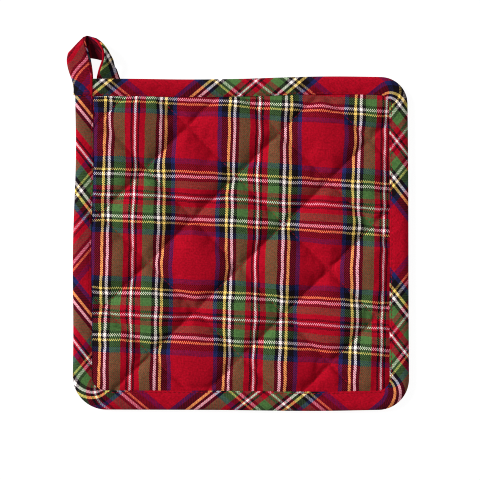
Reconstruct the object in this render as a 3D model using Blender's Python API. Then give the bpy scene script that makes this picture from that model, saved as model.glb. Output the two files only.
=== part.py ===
# Quilted square pot holder, lying on its back: a filled pad, a bias binding
# round its rim, and a hanging loop made from the binding's free end.
# X runs to the right across the face, Y runs towards the loop, Z runs up.
# The origin is on the back of the pad, in its middle.

import math

import bmesh
import bpy
from mathutils import Vector

MM = 0.001

# Outline of the bound edge. A corner is where two sides would meet if it were
# square; the binding's width is the strip seen on the face.
CORNERS = {
    # name: (x, y, radius, binding width, angle where the arc starts)
    "top_left": (-99.1, 99.0, 14.0, 10.2, 180),
    "top_right": (99.7, 100.2, 16.0, 10.7, 90),
    "low_right": (100.6, -99.2, 18.5, 11.4, 0),
    "low_left": (-100.8, -99.0, 20.0, 11.3, -90),
}

# How far each side swells out: in one bow, in an S, and in three waves.
SIDES = {
    # name: (from corner, to corner, bow, sway, ripple)
    "top": ("top_left", "top_right", -0.25, -0.5, 0.25),
    "right": ("top_right", "low_right", 0.1, 0.1, 0.0),
    "bottom": ("low_right", "low_left", 0.4, 0.3, 0.1),
    "left": ("low_left", "top_left", 0.25, 0.3, -0.4),
}
SIDE_STEP = 8.0
CORNER_STEPS = 7

# Stitched lines of the quilting, each as a nearly constant sum or difference
# of X and Y, with its value at the two ends of the line.
RISING_LINES = (
    # (X - Y at the low left end, X - Y at the top right end)
    (-158.3, -158.3),
    (-102.2, -103.4),
    (-45.2, -43.4),
    (11.2, 14.8),
    (67.6, 67.6),
    (125.2, 124.0),
)
FALLING_LINES = (
    # (X + Y at the top left end, X + Y at the low right end)
    (-120.5, -120.0),
    (-66.5, -67.7),
    (-10.1, -19.1),
    (38.8, 36.7),
    (89.5, 90.7),
    (139.3, 138.7),
)
LINE_REACH = 150.0
LATTICE_REACH = 216.0
LATTICE_STEP = 5.7

# Filling: crowns between the stitched lines, on the face and on the back.
RISING_HALF_SPACING = 20.2
FALLING_HALF_SPACING = 18.6
PUFF_SHARPNESS = 2.5
PUFF_HEIGHT = 3.9
RIM_FALL = 16.0
FACE_AT_RIM = 4.7
FACE_AT_STITCH = 5.2
BACK_AT_RIM = 1.0
BACK_AT_STITCH = 1.6
BACK_SWELL = 3.0

# The pressed rim inside the binding.
RIM_INSET = 1.3
RIM_LOW = 1.3
RIM_HIGH = 4.3
GAP = 0.3
WALL_GAP = 0.4
WALL_WELD = 0.9
WALL_SLOPE = 0.5
SLAB_HALF = 10.0
SLAB_BAND = 5.0

# Binding: its cloth, the outside of its section from face to back, and where
# the strip starts beside the loop's root and ends below it.
BINDING_THICK = 1.0
BINDING_OUTSIDE = (
    # (distance in from the bound edge as a share of the width, share of the height)
    (1.0, 0.94),
    (0.72, 1.0),
    (0.42, 1.0),
    (0.18, 0.94),
    (0.036, 0.73),
    (0.0, 0.5),
    (0.032, 0.23),
    (0.12, 0.05),
    (0.24, 0.0),
    (1.0, 0.0),
)
BINDING_EASE = 0.2
BINDING_START_X = -88.4
BINDING_END_Y = 89.3

# The loop's sewn end lies behind the corner and lifts it off the table.
LIFT = 2.3
LIFT_X = (-72.0, -36.0)
LIFT_Y = (88.0, 48.0)

# Hanging loop: sections along the strip from its root on the pad to its sewn
# end. The inner edge bounds the eye; the outer edge is the strip's fold.
LOOP_SECTIONS = (
    # (inner x, inner y, inner z, outer x, outer y, outer z, thickness, bulge)
    (-88.9, 89.6, 5.6, -100.1, 89.6, 5.6, 6.6, 0.0),
    (-88.9, 93.5, 5.6, -100.1, 93.5, 5.6, 6.6, 0.0),
    (-88.9, 97.5, 5.6, -100.8, 97.5, 5.6, 6.6, 0.0),
    (-88.9, 100.6, 5.6, -101.8, 100.4, 5.6, 4.4, 0.0),
    (-89.1, 104.0, 5.7, -102.9, 103.4, 5.4, 2.2, 0.2),
    (-89.6, 107.6, 5.9, -103.8, 106.8, 5.2, 1.8, 0.3),
    (-90.3, 111.4, 6.2, -104.2, 109.6, 5.0, 1.8, 0.3),
    (-91.4, 115.2, 6.5, -104.2, 111.0, 4.9, 1.8, 0.3),
    (-92.6, 118.8, 6.6, -104.0, 112.2, 4.8, 1.8, 0.3),
    (-93.2, 121.8, 6.2, -103.7, 113.3, 4.6, 1.8, 0.3),
    (-93.2, 124.3, 4.9, -103.3, 114.0, 3.5, 1.8, 0.1),
    (-92.8, 125.0, 3.4, -102.6, 113.6, 1.9, 1.8, 0.0),
    (-92.3, 125.0, 2.3, -101.0, 112.6, 1.1, 1.8, 0.0),
    (-92.1, 125.0, 2.1, -96.6, 112.0, 1.0, 1.8, 0.0),
    (-91.9, 125.0, 2.2, -91.6, 112.1, 1.0, 1.8, 0.0),
    (-91.7, 125.0, 2.6, -87.2, 111.5, 1.0, 1.8, 0.0),
    (-91.2, 124.8, 3.3, -83.4, 110.6, 1.1, 1.8, 0.4),
    (-90.0, 124.2, 4.8, -80.2, 110.2, 1.8, 1.8, 1.0),
    (-88.0, 122.9, 6.6, -78.0, 110.3, 2.8, 1.8, 1.5),
    (-85.7, 120.7, 8.2, -76.7, 109.8, 3.4, 1.8, 1.6),
    (-83.8, 118.0, 9.6, -76.0, 108.6, 3.4, 1.8, 1.2),
    (-82.4, 115.6, 10.3, -75.6, 107.0, 3.0, 1.8, 0.7),
    (-82.1, 113.0, 10.4, -75.2, 105.3, 2.4, 1.8, 0.4),
    (-82.6, 110.2, 9.8, -74.6, 103.9, 2.0, 1.8, 0.4),
    (-83.7, 107.4, 8.4, -74.0, 102.4, 1.7, 1.8, 0.4),
    (-84.9, 104.8, 6.4, -73.4, 100.9, 1.4, 1.8, 0.4),
    (-85.9, 102.2, 3.6, -73.0, 99.8, 1.1, 1.8, 0.2),
    (-86.6, 99.8, 1.5, -72.8, 98.4, 1.0, 1.8, 0.0),
    (-86.6, 97.0, 1.0, -72.8, 96.2, 1.0, 1.8, 0.0),
    (-86.6, 90.8, 1.0, -72.8, 90.8, 1.0, 1.8, 0.0),
)
LOOP_SUBSTEPS = 2
LOOP_ACROSS = 5
BULGE_SKEW = 0.6
LOOP_EDGE_SHARE = 0.55

CLOTH_RED = (0.42, 0.01, 0.03, 1.0)
BINDING_RED = (0.36, 0.01, 0.03, 1.0)
LOOP_GREEN = (0.08, 0.12, 0.05, 1.0)


def clear_scene():
    for obj in list(bpy.data.objects):
        bpy.data.objects.remove(obj, do_unlink=True)


def make_collection(name):
    collection = bpy.data.collections.new(name)
    bpy.context.scene.collection.children.link(collection)
    return collection


def cloth_material(name, colour):
    material = bpy.data.materials.new(name)
    material.use_nodes = True
    shader = material.node_tree.nodes["Principled BSDF"]
    shader.inputs["Base Color"].default_value = colour
    shader.inputs["Roughness"].default_value = 0.85
    shader.inputs["Metallic"].default_value = 0.0
    return material


def object_from_bmesh(mesh_bm, name, collection, material=None):
    mesh = bpy.data.meshes.new(name)
    mesh_bm.to_mesh(mesh)
    mesh_bm.free()
    obj = bpy.data.objects.new(name, mesh)
    collection.objects.link(obj)
    if material:
        mesh.materials.append(material)
    return obj


def smooth_step(value, start, end):
    share = min(max((value - start) / (end - start), 0.0), 1.0)
    return share * share * (3.0 - 2.0 * share)


def lift_at(x, y):
    return LIFT * smooth_step(x, LIFT_X[1], LIFT_X[0]) * smooth_step(y, LIFT_Y[1], LIFT_Y[0])


def corner_arc(name):
    # Points, inward normals and width round one corner, clockwise.
    x, y, radius, width, start = CORNERS[name]
    centre = Vector((x - math.copysign(radius, x), y - math.copysign(radius, y)))
    stations = []
    for step in range(CORNER_STEPS + 1):
        angle = math.radians(start - 90 * step / CORNER_STEPS)
        outward = Vector((math.cos(angle), math.sin(angle)))
        stations.append((centre + radius * outward, -outward, width))
    return stations


def side_run(name):
    # Stations between two corner arcs, with the side's unevenness.
    first, last, *waviness = SIDES[name]
    start, _, start_width = corner_arc(first)[-1]
    end, _, end_width = corner_arc(last)[0]
    run = end - start
    outward = Vector((-run.y, run.x)).normalized()
    count = int(run.length // SIDE_STEP)
    stations = []
    for step in range(1, count):
        share = step / count
        outset = sum(size * math.sin(waves * math.pi * share)
                     for waves, size in enumerate(waviness, start=1))
        width = start_width + (end_width - start_width) * share
        stations.append((start + run * share + outward * outset, -outward, width))
    return stations


def outline_stations():
    stations = []
    for name in SIDES:
        stations += corner_arc(SIDES[name][0])
        stations += side_run(name)
    return stations


def inset_points(inset, by_width=False):
    return [point + inward * (inset + (width if by_width else 0.0))
            for point, inward, width in outline_stations()]


def prism(name, points, low, high, collection):
    # A flat outline with straight walls, used as a cutter.
    bm = bmesh.new()
    base = bm.faces.new([bm.verts.new((p.x * MM, p.y * MM, low * MM)) for p in points])
    raised = bmesh.ops.extrude_face_region(bm, geom=[base])["geom"]
    moved = [item for item in raised if isinstance(item, bmesh.types.BMVert)]
    bmesh.ops.translate(bm, verts=moved, vec=(0, 0, (high - low) * MM))
    bmesh.ops.recalc_face_normals(bm, faces=bm.faces)
    cutter = object_from_bmesh(bm, name, collection)
    cutter.hide_render = True
    cutter.display_type = "WIRE"
    return cutter


def sweep_rings(name, rings, collection, material):
    # A tube of quads through rings of equal count, with capped ends.
    bm = bmesh.new()
    loops = [[bm.verts.new(Vector(point) * MM) for point in ring] for ring in rings]
    count = len(loops[0])
    for ring, following in zip(loops, loops[1:]):
        for index in range(count):
            after = (index + 1) % count
            bm.faces.new((ring[index], ring[after], following[after], following[index]))
    bm.faces.new(list(reversed(loops[0])))
    bm.faces.new(loops[-1])
    bmesh.ops.recalc_face_normals(bm, faces=bm.faces)
    obj = object_from_bmesh(bm, name, collection, material)
    obj.data.shade_smooth()
    return obj


def apply_boolean(obj, cutter, operation):
    modifier = obj.modifiers.new(operation.title(), "BOOLEAN")
    modifier.operation = operation
    modifier.solver = "EXACT"
    modifier.object = cutter
    graph = bpy.context.evaluated_depsgraph_get()
    result = bpy.data.meshes.new_from_object(obj.evaluated_get(graph))
    obj.modifiers.clear()
    old = obj.data
    obj.data = result
    bpy.data.meshes.remove(old)


def line_value(line, along):
    # A line's sum or difference at a place along it.
    start, end = line
    return start + (end - start) * (along + LINE_REACH) / (2 * LINE_REACH)


def distance_to_lines(lines, across, along):
    return min(abs(across - line_value(line, along)) for line in lines) / math.sqrt(2)


def swell(distance, half_spacing):
    return 1.0 - (1.0 - min(distance / half_spacing, 1.0)) ** PUFF_SHARPNESS


def nearest_on(outline, x, y):
    # The nearest place on an outline: its segment, the share along it, and how far.
    spot = Vector((x, y))
    best = (0, 0.0, LATTICE_REACH)
    for index, start in enumerate(outline):
        run = outline[(index + 1) % len(outline)] - start
        share = min(max((spot - start).dot(run) / run.length_squared, 0.0), 1.0)
        distance = (start + run * share - spot).length
        if distance < best[2]:
            best = (index, share, distance)
    return best


def puff_at(x, y, inside):
    rising = swell(distance_to_lines(RISING_LINES, x - y, x + y), RISING_HALF_SPACING)
    falling = swell(distance_to_lines(FALLING_LINES, x + y, x - y), FALLING_HALF_SPACING)
    return rising * falling * swell(inside, RIM_FALL)


def face_height(x, y, inside):
    base = FACE_AT_RIM + (FACE_AT_STITCH - FACE_AT_RIM) * swell(inside, RIM_FALL)
    return base + PUFF_HEIGHT * puff_at(x, y, inside) + lift_at(x, y)


def back_height(x, y, inside):
    base = BACK_AT_RIM + (BACK_AT_STITCH - BACK_AT_RIM) * swell(inside, RIM_FALL)
    return max(base - BACK_SWELL * puff_at(x, y, inside), 0.0) + lift_at(x, y)


def lattice_lines(lines):
    # The stitched lines with evenly spaced lines between them and beyond.
    stops = [(-LATTICE_REACH, -LATTICE_REACH), *lines, (LATTICE_REACH, LATTICE_REACH)]
    result = [stops[0]]
    for start, end in zip(stops, stops[1:]):
        count = max(1, round((sum(end) - sum(start)) / 2 / LATTICE_STEP))
        for step in range(1, count + 1):
            share = step / count
            result.append(tuple(a + (b - a) * share for a, b in zip(start, end)))
    return result


def crossing(rising, falling):
    # Where a rising and a falling line meet: two linear equations in the
    # sum and the difference of X and Y.
    rise = (rising[1] - rising[0]) / (2 * LINE_REACH)
    fall = (falling[1] - falling[0]) / (2 * LINE_REACH)
    middle_rise = sum(rising) / 2
    middle_fall = sum(falling) / 2
    total = (middle_fall + fall * middle_rise) / (1.0 - rise * fall)
    difference = middle_rise + rise * total
    return (total + difference) / 2, (total - difference) / 2


def quilted_slab(collection, material):
    # A slab whose square grid is pulled onto the lattice of quilting lines.
    rising = lattice_lines(RISING_LINES)
    falling = lattice_lines(FALLING_LINES)
    bm = bmesh.new()
    bmesh.ops.create_grid(bm, x_segments=len(rising) - 1, y_segments=len(falling) - 1, size=1.0)
    for vert in bm.verts:
        column = round((vert.co.x + 1.0) / 2.0 * (len(rising) - 1))
        row = round((vert.co.y + 1.0) / 2.0 * (len(falling) - 1))
        x, y = crossing(rising[column], falling[row])
        vert.co = Vector((x * MM, y * MM, -SLAB_HALF * MM))
    raised = bmesh.ops.extrude_face_region(bm, geom=bm.faces[:])["geom"]
    moved = [item for item in raised if isinstance(item, bmesh.types.BMVert)]
    bmesh.ops.translate(bm, verts=moved, vec=(0, 0, 2 * SLAB_HALF * MM))
    bmesh.ops.recalc_face_normals(bm, faces=bm.faces)
    return object_from_bmesh(bm, "quilted_pad", collection, material)


def is_wall(face):
    return abs(face.normal.z) < WALL_SLOPE


def extrude_rim(bm, walls, edges):
    # The middle band of the slab's walls, drawn out to the pad's own edge.
    for level in (-SLAB_BAND, SLAB_BAND):
        whole = bm.verts[:] + bm.edges[:] + bm.faces[:]
        bmesh.ops.bisect_plane(bm, geom=whole, plane_co=(0, 0, level * MM), plane_no=(0, 0, 1))
    bm.normal_update()
    band = [face for face in bm.faces
            if is_wall(face) and abs(face.calc_center_median().z) < SLAB_BAND * MM]
    raised = bmesh.ops.extrude_face_region(bm, geom=band)["geom"]
    bmesh.ops.delete(bm, geom=[face for face in band if face.is_valid], context="FACES")
    for vert in raised:
        if isinstance(vert, bmesh.types.BMVert):
            index, share, _ = nearest_on(walls, vert.co.x / MM, vert.co.y / MM)
            spot = edges[index].lerp(edges[(index + 1) % len(edges)], share)
            vert.co.x = spot.x * MM
            vert.co.y = spot.y * MM


def settle_heights(bm, walls):
    # The slab's two faces take the puffs' heights, its band the pressed rim's.
    for vert in bm.verts:
        x, y, level = vert.co / MM
        inside = nearest_on(walls, x, y)[2]
        if abs(level) < (SLAB_HALF + SLAB_BAND) / 2:
            height = (RIM_HIGH if level > 0 else RIM_LOW) + lift_at(x, y)
        elif level > 0:
            height = face_height(x, y, inside)
        else:
            height = back_height(x, y, inside)
        vert.co.z = height * MM


def build_pad(parts, cutters):
    pad = quilted_slab(parts, cloth_material("checked_cloth", CLOTH_RED))
    walls = inset_points(WALL_GAP, by_width=True)
    outline = prism("pad_outline", walls, -2 * SLAB_HALF, 2 * SLAB_HALF, cutters)
    apply_boolean(pad, outline, "INTERSECT")
    bm = bmesh.new()
    bm.from_mesh(pad.data)
    bmesh.ops.remove_doubles(bm, verts=bm.verts, dist=WALL_WELD * MM)
    many_sided = [face for face in bm.faces if len(face.verts) > 4 and not is_wall(face)]
    bmesh.ops.triangulate(bm, faces=many_sided)
    extrude_rim(bm, walls, inset_points(RIM_INSET))
    settle_heights(bm, walls)
    bm.to_mesh(pad.data)
    bm.free()
    pad.data.shade_smooth()
    return pad


def binding_section(width):
    # A folded strip in section: the outside, then the inside round the rim.
    top = RIM_HIGH + GAP + BINDING_THICK
    outside = tuple((share * width, rise * top) for share, rise in BINDING_OUTSIDE)
    inner = RIM_INSET - GAP
    floor, roof = RIM_LOW - GAP, RIM_HIGH + GAP
    inside = ((width, floor), (inner + BINDING_EASE, floor), (inner, floor + BINDING_EASE),
              (inner, roof - BINDING_EASE), (inner + BINDING_EASE, roof), (width, roof))
    return outside + inside


def binding_path():
    # The outline as an open run: from the start beside the loop's root, round
    # three corners, to the end below the root.
    stations = outline_stations()
    first, later = stations[CORNER_STEPS], stations[CORNER_STEPS + 1:]
    run = [item for item in later
           if item[0].x > BINDING_START_X + 2 or item[0].y < BINDING_END_Y - 2]
    last = run[-1]
    start = (Vector((BINDING_START_X, first[0].y)), first[1], first[2])
    end = (Vector((last[0].x, BINDING_END_Y)), last[1], first[2])
    return [start, *run, end]


def build_binding(parts):
    rings = []
    for point, inward, width in binding_path():
        ring = []
        for inset, height in binding_section(width):
            spot = point + inward * inset
            ring.append((spot.x, spot.y, height + lift_at(spot.x, spot.y)))
        rings.append(ring)
    material = cloth_material("binding_cloth", BINDING_RED)
    return sweep_rings("binding", rings, parts, material)


def spline_row(rows, position):
    # Catmull-Rom through the section table.
    index = min(int(position), len(rows) - 2)
    share = position - index
    before = rows[max(index - 1, 0)]
    start, end = rows[index], rows[index + 1]
    after = rows[min(index + 2, len(rows) - 1)]
    return [0.5 * (2 * b + (c - a) * share + (2 * a - 5 * b + 4 * c - d) * share ** 2
                   + (3 * b - a - 3 * c + d) * share ** 3)
            for a, b, c, d in zip(before, start, end, after)]


def loop_surface():
    # Mid-surface points and thickness, section by section.
    count = (len(LOOP_SECTIONS) - 1) * LOOP_SUBSTEPS
    surface = []
    for step in range(count + 1):
        row = spline_row(LOOP_SECTIONS, step / LOOP_SUBSTEPS)
        inner, outer = Vector(row[0:3]), Vector(row[3:6])
        line = [inner.lerp(outer, index / (LOOP_ACROSS - 1)) for index in range(LOOP_ACROSS)]
        surface.append((line, row[6], row[7]))
    return surface


def loop_normals(surface):
    normals = []
    last = len(surface) - 1
    for index in range(last + 1):
        before = surface[max(index - 1, 0)][0]
        after = surface[min(index + 1, last)][0]
        line = surface[index][0]
        across = (line[-1] - line[0]).normalized()
        row = [across.cross(after[spot] - before[spot]).normalized() for spot in range(LOOP_ACROSS)]
        middle = sum(row[1:], Vector()).normalized()
        normals.append([middle.lerp(item, 0.5).normalized() for item in row[1:2] + row[1:]])
    return normals


def pad_pocket(collection):
    # The space that the pressed rim and its clearance take out of the root.
    points = inset_points(RIM_INSET - GAP)
    return prism("pad_pocket", points, RIM_LOW - GAP + LIFT, RIM_HIGH + GAP + LIFT, collection)


def build_loop(parts, cutters):
    surface = loop_surface()
    rings = []
    for (line, thickness, bulge), normals in zip(surface, loop_normals(surface)):
        face, back = [], []
        for index, (point, normal) in enumerate(zip(line, normals)):
            across = index / (LOOP_ACROSS - 1)
            middle = point - normal * bulge * math.sin(math.pi * across ** BULGE_SKEW)
            at_edge = index in (0, LOOP_ACROSS - 1)
            half = thickness / 2 * (LOOP_EDGE_SHARE if at_edge else 1.0)
            face.append(middle - normal * half)
            back.append(middle + normal * half)
        rings.append(face + back[::-1])
    material = cloth_material("loop_cloth", LOOP_GREEN)
    loop = sweep_rings("hanging_loop", rings, parts, material)
    apply_boolean(loop, pad_pocket(cutters), "DIFFERENCE")
    loop.data.shade_smooth()
    return loop


def main():
    clear_scene()
    parts = make_collection("pot_holder")
    cutters = make_collection("cutters")
    build_pad(parts, cutters)
    build_binding(parts)
    build_loop(parts, cutters)


main()
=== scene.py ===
# The looks of a quilted pot holder in a red checked cotton twill: a padded
# square, a bias strip round its rim, and the strip's free end as a hanging loop.
import math

import bpy
import numpy as np
from mathutils import Matrix, Vector


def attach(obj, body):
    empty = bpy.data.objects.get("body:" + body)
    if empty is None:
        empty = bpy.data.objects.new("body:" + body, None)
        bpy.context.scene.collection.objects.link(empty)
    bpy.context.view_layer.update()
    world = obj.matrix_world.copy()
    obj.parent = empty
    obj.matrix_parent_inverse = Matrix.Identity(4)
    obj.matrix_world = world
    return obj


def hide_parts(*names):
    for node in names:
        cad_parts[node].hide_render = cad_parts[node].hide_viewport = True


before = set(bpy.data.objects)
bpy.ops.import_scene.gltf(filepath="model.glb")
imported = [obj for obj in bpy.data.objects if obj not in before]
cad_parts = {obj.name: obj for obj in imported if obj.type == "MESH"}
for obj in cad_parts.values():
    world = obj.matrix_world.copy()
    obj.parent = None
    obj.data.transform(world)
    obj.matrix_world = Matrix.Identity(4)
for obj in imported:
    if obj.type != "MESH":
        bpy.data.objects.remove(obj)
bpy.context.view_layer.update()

mm = 0.001
print("frame loaded:", ", ".join(sorted(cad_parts)))


# The bound edge, in millimetres, clockwise from the loop's corner.
edge = {
    "corners": (
        # x, y, radius, binding width, angle where the arc starts
        (-99.1, 99.0, 14.0, 10.2, 180),
        (99.7, 100.2, 16.0, 10.7, 90),
        (100.6, -99.2, 18.5, 11.4, 0),
        (-100.8, -99.0, 20.0, 11.3, -90),
    ),
    "sides": (
        # bow, sway and ripple of the side that follows each corner
        (-0.25, -0.5, 0.25),
        (0.1, 0.1, 0.0),
        (0.4, 0.3, 0.1),
        (0.25, 0.3, -0.4),
    ),
    "lift": 2.3,           # the loop's sewn end raises its corner by this
    "liftAlongX": (-72.0, -36.0),
    "liftAlongY": (88.0, 48.0),
    "coarse": 3.0,         # from station to station, under the pad's rim
    "fine": 1.5,           # the same for the strip
}


def runAlong(points):
    steps = np.linalg.norm(np.diff(points, axis=0), axis=1)
    return np.concatenate(([0.0], np.cumsum(steps)))


def smoothStep(value, start, end):
    share = np.clip((np.asarray(value, float) - start) / (end - start), 0.0, 1.0)
    return share * share * (3.0 - 2.0 * share)


def liftAt(x, y):
    alongX, alongY = edge["liftAlongX"], edge["liftAlongY"]
    return (edge["lift"] * smoothStep(x, alongX[1], alongX[0])
            * smoothStep(y, alongY[1], alongY[0]))


unevenness = {
    "waves": 5,
    "firstTurn": 1.7,      # direction of the first wave, for each seed
    "nextTurn": 2.399,     # from one wave's direction to the next
    "shorter": 0.37,
    "seedPhase": 3.1,
    "wavePhase": 5.3,
    "evenOut": 3.2,        # brings the sum back to about -1 to 1
}


def waves(x, y, length, seed):
    # gentle unevenness, the same at each run
    total = 0.0
    for turn in range(unevenness["waves"]):
        angle = seed * unevenness["firstTurn"] + turn * unevenness["nextTurn"]
        stretch = (1.0 + unevenness["shorter"] * turn) * 2 * math.pi / length
        phase = seed * unevenness["seedPhase"] + turn * unevenness["wavePhase"]
        along = x * math.cos(angle) + y * math.sin(angle)
        total = total + np.sin(along * stretch + phase)
    return total / unevenness["evenOut"]


def cornerArc(index, steps):
    x, y, radius, width, start = edge["corners"][index % 4]
    centre = np.array((x - math.copysign(radius, x), y - math.copysign(radius, y)))
    angles = np.radians(start - 90 * np.linspace(0, 1, steps + 1))
    outward = np.stack((np.cos(angles), np.sin(angles)), 1)
    return centre + radius * outward, -outward, np.full(steps + 1, width)


def outlineStations(spacing):
    # points, inward normals and binding width all the way round, and the
    # number of the first station after each corner's arc
    points, inwards, widths, marks, count = [], [], [], [], 0
    for index, bows in enumerate(edge["sides"]):
        arcSteps = max(6, int(edge["corners"][index][2] * math.pi / 2 / spacing))
        arc = cornerArc(index, arcSteps)
        following = cornerArc(index + 1, 1)
        start, end = arc[0][-1], following[0][0]
        run = end - start
        length = np.hypot(*run)
        outward = np.array((-run[1], run[0])) / length
        sideSteps = int(length / spacing)
        share = np.arange(1, sideSteps)[:, None] / sideSteps
        outset = sum(size * np.sin(turns * math.pi * share)
                     for turns, size in enumerate(bows, start=1))
        points += [arc[0], start + run * share + outward * outset]
        inwards += [arc[1], np.repeat(-outward[None], sideSteps - 1, 0)]
        widths += [arc[2], (arc[2][-1] + (following[2][0] - arc[2][-1]) * share)[:, 0]]
        marks.append((count, count + arcSteps))
        count += arcSteps + sideSteps
    return np.concatenate(points), np.concatenate(inwards), np.concatenate(widths), marks


def distanceInside(outline, x, y):
    # how far each place lies inside a closed outline, and its nearest point
    start, run = outline, np.roll(outline, -1, 0) - outline
    spot = np.stack((x, y), 1)
    inside = np.zeros(len(spot), bool)
    best = np.full(len(spot), 1e9)
    nearest = np.zeros_like(spot)
    for (ax, ay), (rx, ry) in zip(start, run):
        share = np.clip(((spot[:, 0] - ax) * rx + (spot[:, 1] - ay) * ry) / (rx * rx + ry * ry), 0, 1)
        close = np.stack((ax + rx * share, ay + ry * share), 1)
        far = np.hypot(*(spot - close).T)
        better = far < best
        best = np.where(better, far, best)
        nearest[better] = close[better]
        crosses = (ay > spot[:, 1]) != (ay + ry > spot[:, 1])
        with np.errstate(divide="ignore", invalid="ignore"):
            inside ^= crosses & (spot[:, 0] < ax + rx * (spot[:, 1] - ay) / ry)
    return np.where(inside, best, -best), nearest


# Finishes are put together from these two.
class Wire:
    # a node's output; arithmetic on it adds Math nodes
    def __init__(self, finish, socket):
        self.finish = finish
        self.socket = socket

    def math(self, operation, *values):
        return self.finish.node("ShaderNodeMath", {"operation": operation}, dict(enumerate(values)))

    def __add__(self, other):
        return self.math("ADD", self, other)

    __radd__ = __add__

    def __sub__(self, other):
        return self.math("SUBTRACT", self, other)

    def __rsub__(self, other):
        return self.math("SUBTRACT", other, self)

    def __mul__(self, other):
        return self.math("MULTIPLY", self, other)

    __rmul__ = __mul__

    def __truediv__(self, other):
        return self.math("DIVIDE", self, other)

    def __mod__(self, other):
        return self.math("FLOORED_MODULO", self, other)

    def __lt__(self, other):
        return self.math("LESS_THAN", self, other)


class Finish:
    # a material under construction
    def __init__(self, name):
        self.material = bpy.data.materials.new(name)
        self.material.use_nodes = True
        self.tree = self.material.node_tree
        self.shader = self.tree.nodes["Principled BSDF"]

    def feed(self, socket, value):
        if isinstance(value, Wire):
            self.tree.links.new(value.socket, socket)
        else:
            socket.default_value = value

    def surface(self, name, value):
        self.feed(self.shader.inputs[name], value)

    def node(self, kind, settings=None, sockets=None, output=0):
        made = self.tree.nodes.new(kind)
        for name, value in (settings or {}).items():
            if name == "stops":
                ramp = made.color_ramp
                ramp.interpolation = "CONSTANT"
                while len(ramp.elements) < len(value):
                    ramp.elements.new(0.5)
                for element, (place, colour) in zip(ramp.elements, value):
                    element.position = place
                for element, (place, colour) in zip(ramp.elements, value):
                    element.color = colour
            else:
                setattr(made, name, value)
        for name, value in (sockets or {}).items():
            self.feed(made.inputs[name], value)
        return Wire(self, made.outputs[output])

    def mix(self, factor, first, second):
        return self.node("ShaderNodeMix", {"data_type": "RGBA", "clamp_factor": False},
                         {0: factor, 6: first, 7: second}, output=2)

    def vector(self, operation, first, second):
        return self.node("ShaderNodeVectorMath", {"operation": operation}, {0: first, 1: second})

    def gamma(self, colour, power):
        return self.node("ShaderNodeGamma", None, {"Color": colour, "Gamma": power})


# The check's yarns and their counts, from the white line to the middle of the
# broad red, where the order turns back; and how the twill shows them.
cloth = {
    "yarns": {
        "white": (252, 240, 236),
        "red": (166, 3, 36),
        "black": (26, 21, 25),
        "green": (76, 112, 62),
        "blue": (36, 40, 88),
        "yellow": (252, 212, 108),
    },
    "warp": (("white", 2), ("red", 2), ("black", 3), ("red", 8), ("green", 16), ("black", 5),
             ("white", 4), ("black", 4), ("yellow", 4), ("black", 9), ("blue", 6), ("red", 32)),
    "weft": (("white", 2), ("red", 2), ("black", 3), ("red", 6), ("green", 10), ("black", 4),
             ("white", 4), ("black", 3), ("yellow", 3), ("black", 8), ("blue", 7), ("red", 30)),
    "warpPitch": 0.40,     # millimetres from yarn to yarn
    "weftPitch": 0.445,
    "twillSteps": 3,       # the warp goes over two of three weft yarns
    "warpSteps": 2,
    "warpShare": 0.61,     # how much of the face the warp seems to cover
    "gamma": 2.2,
    "darkest": (0.002, 0.002, 0.002),
    "yarnContrast": 1.35,  # how plainly single yarns show in the mixed colour
    "biasContrast": 0.40,  # the same on the strips
    "unevenYarns": 0.10,
    "patchy": 0.12,        # faint clouds a few millimetres wide
    "patchyScale": 0.11,
    "fluff": 1.3,          # the uneven surface of the spun yarns
    "fluffScale": 0.9,
    "paintedValleyShade": 0.94,        # painted shade between yarns, and the painted light a yarn's crown adds
    "crown": 0.09,
    "relief": 0.30,
    "reliefDepth": 0.00012,  # metres
    "roughness": 0.88,
    "shine": 0.06,
}


def yarnStops(order):
    # colours by the yarn's number, with a yarn of its own at both turning points
    last = sum(count for _, count in order) - 1
    stops, number = [], 0
    for name, count in order:
        shade = (*(level / 255 for level in cloth["yarns"][name]), 1.0)
        stops.append((max(number - 0.5, 0) / last, shade))
        number += count
    return stops, last


def twillNodes(finish):
    # each system's colour, unevenness and roundness, and where the warp lies on top
    place = finish.node("ShaderNodeAttribute", {"attribute_name": "clothMap"}, None, output=1)
    split = finish.node("ShaderNodeSeparateXYZ", None, {0: place})
    along = {"warp": split, "weft": Wire(finish, split.socket.node.outputs[1])}
    count, colour, uneven, rounded = {}, {}, {}, {}
    for seed, system in enumerate(("warp", "weft")):
        stops, half = yarnStops(cloth[system])
        yarns = along[system] / cloth[system + "Pitch"]
        middle = yarns.math("ROUND", yarns)
        count[system] = middle
        folded = middle.math("PINGPONG", middle, half) / half
        colour[system] = finish.node("ShaderNodeValToRGB", {"stops": stops}, {0: folded})
        uneven[system] = finish.node("ShaderNodeTexWhiteNoise", {"noise_dimensions": "1D"},
                                     {"W": middle + 37 * seed})
        across = 2 * (yarns - middle)
        rounded[system] = 1 - across * across
    warpUp = (count["warp"] + count["weft"]) % cloth["twillSteps"] < cloth["warpSteps"] - 0.5
    return place, colour, uneven, rounded, warpUp


def mixedColour(finish, colour, warpUp, contrast):
    # The colours are mixed as shades that look evenly spaced, and made linear
    # last; single yarns then show against that mixture.
    linear = {system: finish.gamma(colour[system], cloth["gamma"]) for system in colour}
    blended = finish.mix(cloth["warpShare"], colour["weft"], colour["warp"])
    blended = finish.gamma(blended, cloth["gamma"])
    patchwork = finish.mix(cloth["warpSteps"] / cloth["twillSteps"], linear["weft"], linear["warp"])
    single = finish.mix(warpUp, linear["weft"], linear["warp"])
    single = finish.vector("MULTIPLY", single, finish.vector("DIVIDE", blended, patchwork))
    return finish.vector("MAXIMUM", finish.mix(contrast, blended, single), cloth["darkest"])


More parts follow.
